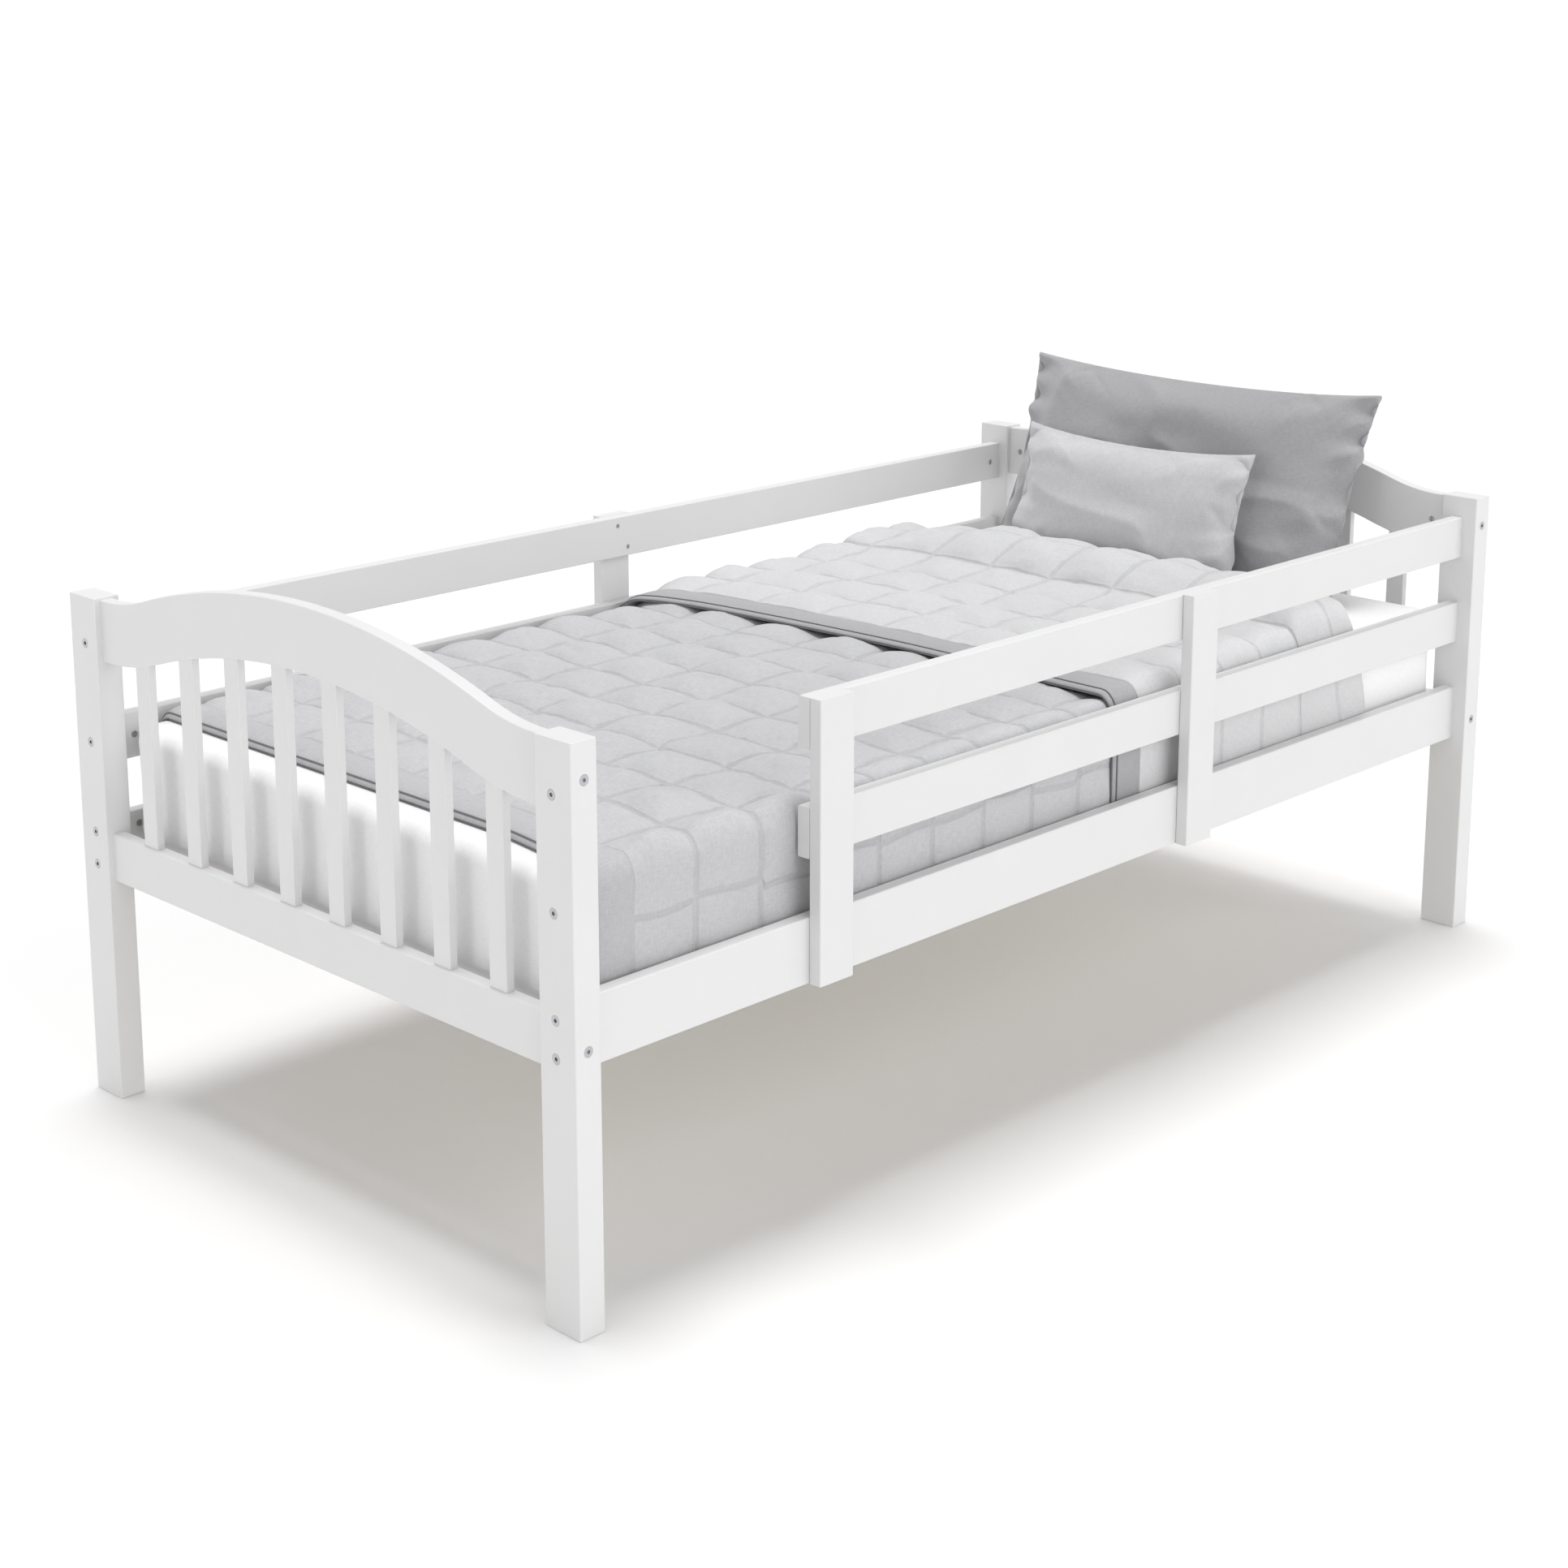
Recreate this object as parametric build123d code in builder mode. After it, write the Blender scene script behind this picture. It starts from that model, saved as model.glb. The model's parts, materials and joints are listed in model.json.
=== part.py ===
from build123d import *
import math
import os

# Single bed with arched spindle ends and guard rails, made up with mattress, quilt and pillows.
# Millimetres. Z is up, +Y points to the head, +X is the side with the way in.
# The origin is on the floor under the middle of the bed.

# ---- overall sizes ----
bed_width = 1067
bed_length = 2012
post_height = 743

# ---- posts ----
post_width = 64          # across the bed
post_depth = 40          # along the bed
post_edge = 2            # rounding of the posts' long edges

# ---- rail stock shared by every rail ----
rail_thick = 20
rail_edge = 2
rail_inset = 25          # post's outer side back to the outer face of a side or guard rail

# ---- arched end rails ----
arch_bottom = 651        # lower edge where it meets the posts
arch_height = 89
arch_rise = 73
arch_flat = 9.5          # straight length beside each post
arch_reverse_low = 393   # radius of the hollow curve, lower edge
arch_reverse_high = 304  # radius of the hollow curve, upper edge

# ---- bottom end rails ----
end_rail_bottom = 329
end_rail_height = 70

# ---- spindles ----
spindle_count = 8
spindle_width = 32
spindle_thick = 12
spindle_edge = 1
tenon = 12               # how deep each spindle end sits in its mortise
mortise_gap = 0.15

# ---- side rails, ledgers and slats ----
side_rail_bottom = 330
side_rail_height = 89
ledger_width = 20
ledger_height = 25
slat_count = 11
slat_width = 70
slat_thick = 18
slat_end_gap = 3
slat_top = 375

# ---- guard rails and upright boards ----
guard_height = 68
guard_top_z = 641        # underside of the top guard rail
guard_mid_z = 497        # underside of the middle guard rail
way_in = 377             # clear length beside the near foot post
board_width = 62
board_thick = 20
second_board_step = 782  # front edge of the first near board to front edge of the second

# ---- connector bolts, barrel nuts, dowels ----
bolt_d = 6
bolt_hole_gap = 0.25
bolt_head_d = 13.5
bolt_head_h = 5
hex_across = 5
hex_deep = 3
nut_d = 10
nut_length = 14
nut_setback = 25         # rail's end to the barrel nut's axis
nut_slot = 1.2
past_nut = 8             # bolt length beyond the barrel nut's axis
side_bolt_spread = 48    # between the two bolts at each side rail end
blank_bolt_length = 30
dowel_d = 8
dowel_length = 40
dowel_spread = 44
hole_gap = 0.1

# ---- wood screws ----
screw_d = 4
screw_head_d = 8
screw_head_h = 3
board_screw_length = 32
board_screw_across = 11  # half spacing along the rail
board_screw_up = 19      # half spacing up the rail on a guard rail
ledger_screw_length = 34
ledger_screw_every = 3   # slat gaps from one ledger screw to the next
slat_screw_length = 34

# ---- bedding ----
loose_gap = 0.4          # air between bodies that are only laid on each other
mattress_side_gap = 13.5
mattress_end_gap = 11
mattress_thick = 175
mattress_corner = 45
mattress_edge = 18
quilt_side_gap = 1.5     # quilt to the inner face of the side rail
quilt_skin = 10          # squeezed thickness beside the mattress
quilt_top = 21
quilt_fold = 20          # extra height where the quilt is turned back on itself
quilt_roll = 42          # and more where the fold rolls over
roll_length = 160
quilt_drop = 150
hem_slope = 60           # the foot hem thins from full puff to bare binding over this length
hem_thick = 7
quilt_foot_back = 50     # mattress end to the quilt's hem
quilt_head_back = 236
turn_down = 639          # length of the part turned back
large_pillow_width = 735
large_pillow_height = 376
large_pillow_front = 30  # seam to the front, squeezed by the small pillow
large_pillow_back = 60
large_pillow_lean = 20.4
large_pillow_foot = 160  # mattress end to the pillow's lower seam
large_pillow_shift = 5
small_pillow_width = 490
small_pillow_height = 257
small_pillow_front = 48
small_pillow_back = 18   # squeezed by the large pillow
small_pillow_lean = 14.2
small_pillow_foot = 213
small_pillow_shift = -35
pillow_taper = 55

# ---- derived places ----
half_width = bed_width / 2
half_length = bed_length / 2
post_inner_x = half_width - post_width
post_inner_y = half_length - post_depth
end_plane_y = half_length - post_depth / 2
end_inner_y = end_plane_y - rail_thick / 2
rail_outer_x = half_width - rail_inset
rail_inner_x = rail_outer_x - rail_thick
rail_mid_x = rail_outer_x - rail_thick / 2
side_rail_mid_z = side_rail_bottom + side_rail_height / 2
side_bolt_z = [side_rail_mid_z - side_bolt_spread / 2, side_rail_mid_z + side_bolt_spread / 2]
guard_bolt_z = [guard_mid_z + guard_height / 2, guard_top_z + guard_height / 2]
arch_bolt_z = arch_bottom + arch_height / 2
end_rail_bolt_z = end_rail_bottom + end_rail_height / 2
spindle_gap = (2 * post_inner_x - spindle_count * spindle_width) / (spindle_count + 1)
spindle_pitch = spindle_width + spindle_gap
spindle_x = [(i - (spindle_count - 1) / 2) * spindle_pitch for i in range(spindle_count)]
board_bottom = side_rail_bottom
board_top = guard_top_z + guard_height
board_mid_x = rail_outer_x + board_thick / 2
near_start_y = -post_inner_y + way_in
near_board_y = [near_start_y + board_width / 2,
                near_start_y + second_board_step + board_width / 2]
mattress_half_x = rail_inner_x - mattress_side_gap
mattress_half_y = post_inner_y - mattress_end_gap
mattress_base = slat_top + loose_gap
mattress_top = mattress_base + mattress_thick

UP = (0, 0, 1)


def seat(point, outward):
    """Plane on a drilled face: its normal points out of the wood."""
    return Plane(origin=point, z_dir=outward)


def export(part, name):
    part.label = name
    export_step(part, f"parts/{name}.step")


def bore(seats, diameter, depth):
    """Round holes of one depth, one at each seat, in the part being built."""
    with BuildSketch(*seats) as mouths:
        Circle(diameter / 2)
    extrude(mouths.sketch, amount=-depth, mode=Mode.SUBTRACT)


# ---- where the fasteners sit ----

def post_bolt_seats(side, end, heights):
    """Seats on a post's outer end face, for bolts that run along the bed."""
    return [seat((side * rail_mid_x, end * half_length, z), (0, end, 0)) for z in heights]


def end_bolt_seats(side, end):
    """Seats on a post's outer side face, for bolts that run across the bed."""
    heights = (arch_bolt_z, end_rail_bolt_z)
    return [seat((side * half_width, end * end_plane_y, z), (side, 0, 0)) for z in heights]


def rail_nut_seats(side, end, heights):
    """Seats on a long rail's inner face, for the barrel nuts near its end."""
    y = end * (post_inner_y - nut_setback)
    return [seat((side * rail_inner_x, y, z), (-side, 0, 0)) for z in heights]


def end_nut_seats(side, end):
    """Seats on an end rail's inner face, for its barrel nuts."""
    x = side * (post_inner_x - nut_setback)
    heights = (arch_bolt_z, end_rail_bolt_z)
    return [seat((x, end * end_inner_y, z), (0, -end, 0)) for z in heights]


def dowel_seats(side, end, middle_z):
    """Seats on a post's inner side face, for the pair of dowels beside an end rail's bolt."""
    heights = (middle_z - dowel_spread / 2, middle_z + dowel_spread / 2)
    return [seat((side * post_inner_x, end * end_plane_y, z), (-side, 0, 0)) for z in heights]


def board_screw_seats(side, board_y):
    """Seats on the rails' inner faces, two on a diagonal behind each upright board."""
    middles = [side_rail_mid_z, guard_bolt_z[0], guard_bolt_z[1]]
    offsets = [(board_screw_across, board_screw_up), (-board_screw_across, -board_screw_up)]
    return [seat((side * rail_inner_x, board_y + side * dy, z + dz), (-side, 0, 0))
            for z in middles for dy, dz in offsets]


def ledger_screw_seats(side):
    """Seats along a ledger's inner face, midway between slats so no two screws meet."""
    x = side * (rail_inner_x - ledger_width)
    return [seat((x, (slat_y[i] + slat_y[i + 1]) / 2, ledger_mid_z), (-side, 0, 0))
            for i in range(0, slat_count - 1, ledger_screw_every)]


def slat_screw_seats(y):
    """Seats on a slat's top face, one over each ledger."""
    x = rail_inner_x - ledger_width / 2
    return [seat((side * x, y, slat_top), UP) for side in (-1, 1)]


def guard_heights(side, end):
    """Bolt heights that hold something at a post: the near foot post carries no guard rail."""
    if side == 1 and end == -1:
        return side_bolt_z
    return side_bolt_z + guard_bolt_z


ledger_length = 2 * (post_inner_y - nut_setback - nut_d - 8)
ledger_mid_z = slat_top - slat_thick - ledger_height / 2
slat_span = ledger_length - slat_width - 20
slat_y = [-slat_span / 2 + i * slat_span / (slat_count - 1) for i in range(slat_count)]
corners = [(side, end) for end in (-1, 1) for side in (-1, 1)]
side_name = {-1: "far", 1: "near"}
end_name = {-1: "foot", 1: "head"}
end_board = {-1: "footboard", 1: "headboard"}
bolt_clear_d = bolt_d + 2 * bolt_hole_gap
rail_bolt_length = post_depth + nut_setback + past_nut
end_bolt_length = post_width + nut_setback + past_nut
head_clear_d = bolt_head_d + 2 * bolt_hole_gap


# ---- corner posts ----

def corner_post(side, end):
    centre_x = side * (half_width - post_width / 2)
    centre_y = end * end_plane_y
    with BuildPart() as post:
        with BuildSketch():
            with Locations((centre_x, centre_y)):
                Rectangle(post_width, post_depth)
        extrude(amount=post_height)
        fillet(post.edges().filter_by(Axis.Z), post_edge)
        fillet(post.faces().sort_by(Axis.Z)[-1].edges(), post_edge / 2)
        along = post_bolt_seats(side, end, side_bolt_z + guard_bolt_z)
        across = end_bolt_seats(side, end)
        bore(along, bolt_clear_d, post_depth)
        bore(across, bolt_clear_d, post_width)
        bore(along + across, head_clear_d, bolt_head_h)
        dowels = dowel_seats(side, end, arch_bolt_z) + dowel_seats(side, end, end_rail_bolt_z)
        bore(dowels, dowel_d + 2 * hole_gap, dowel_length / 2)
    export(post.part, f"{side_name[side]}_{end_name[end]}_post")


# ---- arched end rails ----

def crown_angle(rise):
    """Turn of each arc of the camel back: two tangent arcs that climb `rise` over the half span."""
    return 2 * math.atan(rise / (post_inner_x - arch_flat))


def crown_z(x, base, reverse):
    """Height of one edge of the camel back above the floor at a place across the bed."""
    half_span = post_inner_x - arch_flat
    angle = crown_angle(arch_rise)
    dome = half_span / math.sin(angle) - reverse
    away = min(abs(x), half_span)
    if away < dome * math.sin(angle):
        return base + arch_rise - dome + math.sqrt(dome ** 2 - away ** 2)
    return base + reverse - math.sqrt(reverse ** 2 - (half_span - away) ** 2)


def crown_edge(base, reverse, direction):
    """Draw one edge from post to post: straight, hollow arc, dome, hollow arc, straight."""
    half_span = post_inner_x - arch_flat
    angle = crown_angle(arch_rise)
    join = half_span - reverse * math.sin(angle)
    bend = half_span - reverse * math.sin(angle / 2)
    stops = [-post_inner_x, -half_span, -bend, -join, 0, join, bend, half_span, post_inner_x]
    if direction < 0:
        stops = stops[::-1]
    points = [(x, crown_z(x, base, reverse)) for x in stops]
    Line(points[0], points[1])
    ThreePointArc(points[1], points[2], points[3])
    ThreePointArc(points[3], points[4], points[5])
    ThreePointArc(points[5], points[6], points[7])
    Line(points[7], points[8])
    return points[0], points[8]


def arch_rail(end):
    with BuildPart() as rail:
        with BuildSketch(Plane.XZ.offset(-end * end_plane_y)):
            with BuildLine():
                low_start, low_stop = crown_edge(arch_bottom, arch_reverse_low, 1)
                high_start, high_stop = crown_edge(arch_bottom + arch_height, arch_reverse_high, -1)
                Line(low_stop, high_start)
                Line(high_stop, low_start)
            make_face()
        extrude(amount=rail_thick / 2, both=True)
        fillet(rail.faces().filter_by(Axis.Y).edges().filter_by(Axis.Z, reverse=True), rail_edge)
        for x in spindle_x:
            with BuildSketch(Plane.XY.offset(crown_z(x, arch_bottom, arch_reverse_low) + tenon)):
                with Locations((x, end * end_plane_y)):
                    Rectangle(spindle_width + 2 * mortise_gap, spindle_thick + 2 * mortise_gap)
            extrude(amount=-2 * tenon, mode=Mode.SUBTRACT)
        drill_end_rail(end, arch_bolt_z, 0)
    export(rail.part, f"{end_board[end]}_arch_rail")


def drill_end_rail(end, middle_z, which):
    """Bolt, barrel nut and dowel holes in both ends of an end rail."""
    bolt_depth = nut_setback + past_nut
    ends = [seat((side * post_inner_x, end * end_plane_y, middle_z), (side, 0, 0)) for side in (-1, 1)]
    nuts = [end_nut_seats(side, end)[which] for side in (-1, 1)]
    dowels = [seat((side * post_inner_x, end * end_plane_y, middle_z + up), (side, 0, 0))
              for side in (-1, 1) for up in (-dowel_spread / 2, dowel_spread / 2)]
    bore(ends, bolt_clear_d, bolt_depth + 1)
    bore(nuts, nut_d + 2 * hole_gap, nut_length + 1)
    bore(dowels, dowel_d + 2 * hole_gap, dowel_length / 2)


def bottom_end_rail(end):
    centre = (0, end * end_plane_y, end_rail_bolt_z)
    with BuildPart() as rail:
        with BuildSketch(Plane.XY.offset(end_rail_bottom)):
            with Locations((centre[0], centre[1])):
                Rectangle(2 * post_inner_x, rail_thick)
        extrude(amount=end_rail_height)
        fillet(rail.edges().filter_by(Axis.X), rail_edge)
        with BuildSketch(Plane.XY.offset(end_rail_bottom + end_rail_height)):
            with Locations(*[(x, centre[1]) for x in spindle_x]):
                Rectangle(spindle_width + 2 * mortise_gap, spindle_thick + 2 * mortise_gap)
        extrude(amount=-tenon, mode=Mode.SUBTRACT)
        drill_end_rail(end, end_rail_bolt_z, 1)
    export(rail.part, f"{end_board[end]}_bottom_rail")


def spindle(end, number):
    x = spindle_x[number]
    low = end_rail_bottom + end_rail_height - tenon
    high = crown_z(x, arch_bottom, arch_reverse_low) + tenon
    with BuildPart() as bar:
        with BuildSketch(Plane.XY.offset(low)):
            with Locations((x, end * end_plane_y)):
                Rectangle(spindle_width, spindle_thick)
        extrude(amount=high - low)
        fillet(bar.edges().filter_by(Axis.Z), spindle_edge)
    export(bar.part, f"{end_board[end]}_spindle_{number + 1}")


# ---- long rails ----

def long_rail(name, side, start, stop, bottom, height, bolt_z, bolted_ends, boards):
    """A rail along the bed, drilled for its connector bolts and for the upright boards' screws."""
    with BuildPart() as rail:
        with BuildSketch(Plane.XY.offset(bottom)):
            with Locations((side * rail_mid_x, (start + stop) / 2)):
                Rectangle(rail_thick, stop - start)
        extrude(amount=height)
        fillet(rail.edges().filter_by(Axis.Y), rail_edge)
        for end in bolted_ends:
            tips = [seat((side * rail_mid_x, end * post_inner_y, z), (0, end, 0)) for z in bolt_z]
            bore(tips, bolt_clear_d, nut_setback + past_nut + 1)
            bore(rail_nut_seats(side, end, bolt_z), nut_d + 2 * hole_gap, nut_length + 1)
        for board_y in boards:
            behind = [s for s in board_screw_seats(side, board_y)
                      if bottom < s.origin.Z < bottom + height]
            bore(behind, screw_d + 2 * hole_gap, rail_thick)
            bore(behind, screw_head_d + 2 * hole_gap, screw_head_h)
        if bottom == side_rail_bottom:
            backs = [seat((side * rail_inner_x, s.origin.Y, s.origin.Z), (-side, 0, 0))
                     for s in ledger_screw_seats(side)]
            bore(backs, screw_d + 2 * hole_gap, ledger_screw_length - ledger_width + 1)
    export(rail.part, name)


def all_long_rails():
    full = (-post_inner_y, post_inner_y)
    both = (-1, 1)
    top_z = [guard_bolt_z[1]]
    mid_z = [guard_bolt_z[0]]
    long_rail("near_side_rail", 1, *full, side_rail_bottom, side_rail_height, side_bolt_z, both,
              near_board_y)
    long_rail("far_side_rail", -1, *full, side_rail_bottom, side_rail_height, side_bolt_z, both, [0])
    short = (near_start_y, post_inner_y)
    long_rail("near_guard_rail_top", 1, *short, guard_top_z, guard_height, top_z, (1,), near_board_y)
    long_rail("near_guard_rail_middle", 1, *short, guard_mid_z, guard_height, mid_z, (1,),
              near_board_y)
    long_rail("far_guard_rail_top", -1, *full, guard_top_z, guard_height, top_z, both, [0])
    long_rail("far_guard_rail_middle", -1, *full, guard_mid_z, guard_height, mid_z, both, [0])


def upright_board(name, side, board_y):
    """Upright board screwed to the outer faces of the side rail and both guard rails."""
    with BuildPart() as board:
        with BuildSketch(Plane.XY.offset(board_bottom)):
            with Locations((side * board_mid_x, board_y)):
                Rectangle(board_thick, board_width)
        extrude(amount=board_top - board_bottom)
        fillet(board.edges().filter_by(Axis.Z), rail_edge)
        backs = [seat((side * rail_outer_x, s.origin.Y, s.origin.Z), (-side, 0, 0))
                 for s in board_screw_seats(side, board_y)]
        bore(backs, screw_d + 2 * hole_gap, board_screw_length - rail_thick + 1)
    export(board.part, name)


def ledger(side):
    """Strip inside the side rail that carries the slats."""
    centre_x = side * (rail_inner_x - ledger_width / 2)
    with BuildPart() as strip:
        with BuildSketch(Plane.XY.offset(ledger_mid_z - ledger_height / 2)):
            with Locations((centre_x, 0)):
                Rectangle(ledger_width, ledger_length)
        extrude(amount=ledger_height)
        bore(ledger_screw_seats(side), screw_d + 2 * hole_gap, ledger_width)
        bore(ledger_screw_seats(side), screw_head_d + 2 * hole_gap, screw_head_h)
        tops = [seat((s.origin.X, s.origin.Y, slat_top - slat_thick), UP)
                for y in slat_y for s in slat_screw_seats(y) if s.origin.X * side > 0]
        bore(tops, screw_d + 2 * hole_gap, slat_screw_length - slat_thick + 1)
    export(strip.part, f"{side_name[side]}_ledger")


def slat(number):
    y = slat_y[number]
    with BuildPart() as board:
        with BuildSketch(Plane.XY.offset(slat_top - slat_thick)):
            with Locations((0, y)):
                Rectangle(2 * (rail_inner_x - slat_end_gap), slat_width)
        extrude(amount=slat_thick)
        fillet(board.edges().filter_by(Axis.X), rail_edge)
        bore(slat_screw_seats(y), screw_d + 2 * hole_gap, slat_thick)
        bore(slat_screw_seats(y), screw_head_d + 2 * hole_gap, screw_head_h)
    export(board.part, f"slat_{number + 1}")


# ---- fasteners ----

def socket_bolts(name, seats, length):
    """Flat-headed connector bolts with a hexagon socket, heads flush in their counterbores."""
    with BuildPart() as bolts:
        with BuildSketch(*seats):
            Circle(bolt_d / 2)
        extrude(amount=-length)
        with BuildSketch(*seats):
            Circle(bolt_head_d / 2)
        extrude(amount=-bolt_head_h)
        with BuildSketch(*seats):
            RegularPolygon(hex_across / 2, 6, major_radius=False)
        extrude(amount=-hex_deep, mode=Mode.SUBTRACT)
    export(bolts.part, name)


def all_bolts():
    along = [s for side, end in corners for s in post_bolt_seats(side, end, guard_heights(side, end))]
    across = [s for side, end in corners for s in end_bolt_seats(side, end)]
    socket_bolts("rail_bolts", along, rail_bolt_length)
    socket_bolts("end_rail_bolts", across, end_bolt_length)
    socket_bolts("blanking_bolts", post_bolt_seats(1, -1, guard_bolt_z), blank_bolt_length)


def barrel_nuts(name, nut_seats, bolt_seats):
    """Round nuts that lie across the bolts inside the rails, with a driver slot in the end."""
    with BuildPart() as nuts:
        with BuildSketch(*nut_seats):
            Circle(nut_d / 2)
        extrude(amount=-nut_length)
        with BuildSketch(*nut_seats):
            Rectangle(nut_d, nut_slot)
        extrude(amount=-nut_slot, mode=Mode.SUBTRACT)
        bore(bolt_seats, bolt_d + 2 * hole_gap, end_bolt_length + nut_d)
    export(nuts.part, name)


def all_barrel_nuts():
    rail_nuts = [s for side, end in corners
                 for s in rail_nut_seats(side, end, guard_heights(side, end))]
    rail_bolts = [s for side, end in corners
                  for s in post_bolt_seats(side, end, guard_heights(side, end))]
    barrel_nuts("rail_barrel_nuts", rail_nuts, rail_bolts)
    end_nuts = [s for side, end in corners for s in end_nut_seats(side, end)]
    end_bolts = [s for side, end in corners for s in end_bolt_seats(side, end)]
    barrel_nuts("end_rail_barrel_nuts", end_nuts, end_bolts)


def dowel_pins():
    with BuildPart() as pins:
        for side, end in corners:
            for middle_z in (arch_bolt_z, end_rail_bolt_z):
                with BuildSketch(*dowel_seats(side, end, middle_z)):
                    Circle(dowel_d / 2)
                extrude(amount=dowel_length / 2, both=True)
    export(pins.part, "end_rail_dowels")


def wood_screws(name, seats, length):
    """Countersunk wood screws with a cross recess, heads flush with the wood."""
    with BuildPart() as screws:
        with BuildSketch(*seats):
            Circle(screw_d / 2)
        extrude(amount=-length)
        with BuildSketch(*seats):
            Circle(screw_head_d / 2)
        extrude(amount=-screw_head_h)
        with BuildSketch(*seats):
            Rectangle(screw_head_d * 0.55, 1)
            Rectangle(1, screw_head_d * 0.55)
        extrude(amount=-1.5, mode=Mode.SUBTRACT)
    export(screws.part, name)


def all_screws():
    boards = [(1, y) for y in near_board_y] + [(-1, 0)]
    behind = [s for side, y in boards for s in board_screw_seats(side, y)]
    wood_screws("board_screws", behind, board_screw_length)
    wood_screws("ledger_screws", ledger_screw_seats(-1) + ledger_screw_seats(1), ledger_screw_length)
    wood_screws("slat_screws", [s for y in slat_y for s in slat_screw_seats(y)], slat_screw_length)


# ---- bedding ----

def mattress():
    with BuildPart() as block:
        with BuildSketch(Plane.XY.offset(mattress_base)):
            RectangleRounded(2 * mattress_half_x, 2 * mattress_half_y, mattress_corner)
        extrude(amount=mattress_thick)
        fillet(block.faces().sort_by(Axis.Z)[-1].edges(), mattress_edge)
        fillet(block.faces().sort_by(Axis.Z)[0].edges(), mattress_edge)
    export(block.part, "mattress")


def quilt():
    """Quilt over the mattress: a sheet with two hanging sides, thicker where it is turned back."""
    foot_y = -mattress_half_y + quilt_foot_back
    head_y = mattress_half_y - quilt_head_back
    half_x = rail_inner_x - quilt_side_gap
    inner_x = half_x - quilt_skin
    inner_z = mattress_top + loose_gap
    low = mattress_top - quilt_drop
    top = inner_z + quilt_top
    fold_x = half_x - quilt_skin
    with BuildPart() as cover:
        with BuildSketch(Plane.XZ.offset(-head_y)) as hoop:
            with Locations((0, (low + top) / 2)):
                Rectangle(2 * half_x, top - low)
            fillet(hoop.vertices().group_by(Axis.Y)[-1], quilt_top * 0.8)
            with Locations((0, (low + inner_z) / 2)):
                Rectangle(2 * inner_x, inner_z - low, mode=Mode.SUBTRACT)
        extrude(amount=head_y - foot_y)
        with BuildSketch(Plane.YZ) as turned:
            with Locations((head_y - turn_down / 2, top + quilt_fold / 2)):
                Rectangle(turn_down, quilt_fold)
            with Locations((head_y - roll_length / 2, top + (quilt_fold + quilt_roll) / 2)):
                Rectangle(roll_length, quilt_fold + quilt_roll)
            fillet(turned.vertices().group_by(Axis.Y)[-1], quilt_roll * 0.9)
        extrude(amount=fold_x, both=True)
        with BuildSketch(Plane.YZ) as hem:
            with BuildLine():
                Polyline((foot_y - 1, top + 1), (foot_y + hem_slope, top + 1), (foot_y, inner_z + hem_thick),
                         (foot_y - 1, inner_z + hem_thick), close=True)
            make_face()
        extrude(amount=half_x + 1, both=True, mode=Mode.SUBTRACT)
    export(cover.part, "quilt")


def pillow(name, width, height, front, back, lean, centre_x, foot_y):
    """Plump cushion stood on its lower seam and leaning back, bevelled from the seam to both faces."""
    lean_rad = math.radians(lean)
    seam_y = foot_y + height / 2 * math.sin(lean_rad)
    seam_z = mattress_top + loose_gap + height / 2 * math.cos(lean_rad)
    forward = (0, -math.cos(lean_rad), math.sin(lean_rad))
    with BuildPart() as cushion:
        with BuildSketch(Plane(origin=(centre_x, seam_y, seam_z), x_dir=(1, 0, 0), z_dir=forward)) as seam:
            Rectangle(width, height)
        extrude(seam.sketch, amount=front, taper=pillow_taper)
        extrude(seam.sketch, amount=-back, taper=pillow_taper)
    export(cushion.part, name)


os.makedirs("parts", exist_ok=True)

for side, end in corners:
    corner_post(side, end)
for end in (-1, 1):
    arch_rail(end)
    bottom_end_rail(end)
    for number in range(spindle_count):
        spindle(end, number)
all_long_rails()
upright_board("near_foot_board", 1, near_board_y[0])
upright_board("near_middle_board", 1, near_board_y[1])
upright_board("far_middle_board", -1, 0)
for side in (-1, 1):
    ledger(side)
for number in range(slat_count):
    slat(number)
all_bolts()
all_barrel_nuts()
dowel_pins()
all_screws()
mattress()
quilt()
pillow("large_pillow", large_pillow_width, large_pillow_height, large_pillow_front, large_pillow_back,
       large_pillow_lean, large_pillow_shift, mattress_half_y - large_pillow_foot)
pillow("small_pillow", small_pillow_width, small_pillow_height, small_pillow_front, small_pillow_back,
       small_pillow_lean, small_pillow_shift, mattress_half_y - small_pillow_foot)
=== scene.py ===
import json
import math

import bmesh
import bpy
import numpy as np
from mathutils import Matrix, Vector


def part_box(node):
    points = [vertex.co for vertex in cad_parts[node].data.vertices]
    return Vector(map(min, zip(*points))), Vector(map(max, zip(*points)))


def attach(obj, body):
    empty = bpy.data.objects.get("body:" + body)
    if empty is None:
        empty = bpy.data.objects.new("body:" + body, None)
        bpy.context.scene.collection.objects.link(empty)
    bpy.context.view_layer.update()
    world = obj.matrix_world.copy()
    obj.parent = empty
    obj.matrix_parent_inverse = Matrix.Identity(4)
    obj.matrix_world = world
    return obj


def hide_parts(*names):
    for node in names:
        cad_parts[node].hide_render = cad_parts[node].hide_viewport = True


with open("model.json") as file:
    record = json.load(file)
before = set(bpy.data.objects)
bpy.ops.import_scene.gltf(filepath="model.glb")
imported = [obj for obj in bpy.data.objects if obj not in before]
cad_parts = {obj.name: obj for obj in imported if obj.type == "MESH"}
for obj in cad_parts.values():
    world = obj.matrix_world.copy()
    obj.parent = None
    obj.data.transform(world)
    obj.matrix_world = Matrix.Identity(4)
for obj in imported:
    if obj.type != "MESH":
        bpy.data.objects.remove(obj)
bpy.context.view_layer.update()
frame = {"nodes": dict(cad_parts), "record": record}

MM = 0.001


# ---------------------------------------------------------------- colours and node helpers

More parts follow.
